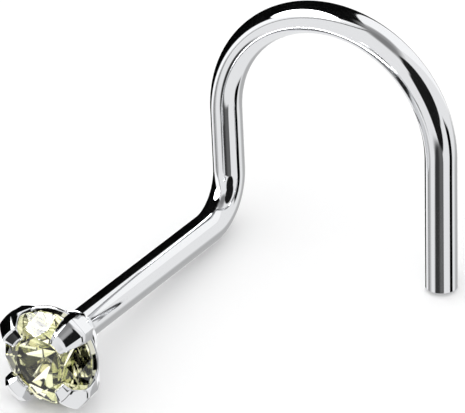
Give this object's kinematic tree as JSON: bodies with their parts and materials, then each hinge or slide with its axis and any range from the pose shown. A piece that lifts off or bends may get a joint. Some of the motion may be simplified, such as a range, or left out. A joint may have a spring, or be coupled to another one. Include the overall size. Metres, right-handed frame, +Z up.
{
  "type": "nose stud",
  "caption": "Screw-type nose stud: a round faceted stone in a claw cup on a straight wire post that bends into a flat U-shaped hook.",
  "frame": {"origin": "centre of the bounding box on the surface that the unworn stud lies on", "axes": "+Z up as it lies by itself; -Y along the post towards the stone, which faces -Y; +X to the side that the hook turns to"},
  "size_m": [0.0076, 0.0104, 0.0067],
  "materials": {
    "polished_steel": "mirror-polished surgical steel",
    "pale_green_stone": "pale yellow-green cut stone, clear, with polished facets"
  },
  "bodies": {
    "root": {"post_hook_and_claw_setting": "polished_steel", "round_brilliant_stone": "pale_green_stone"}
  },
  "joints": []
}
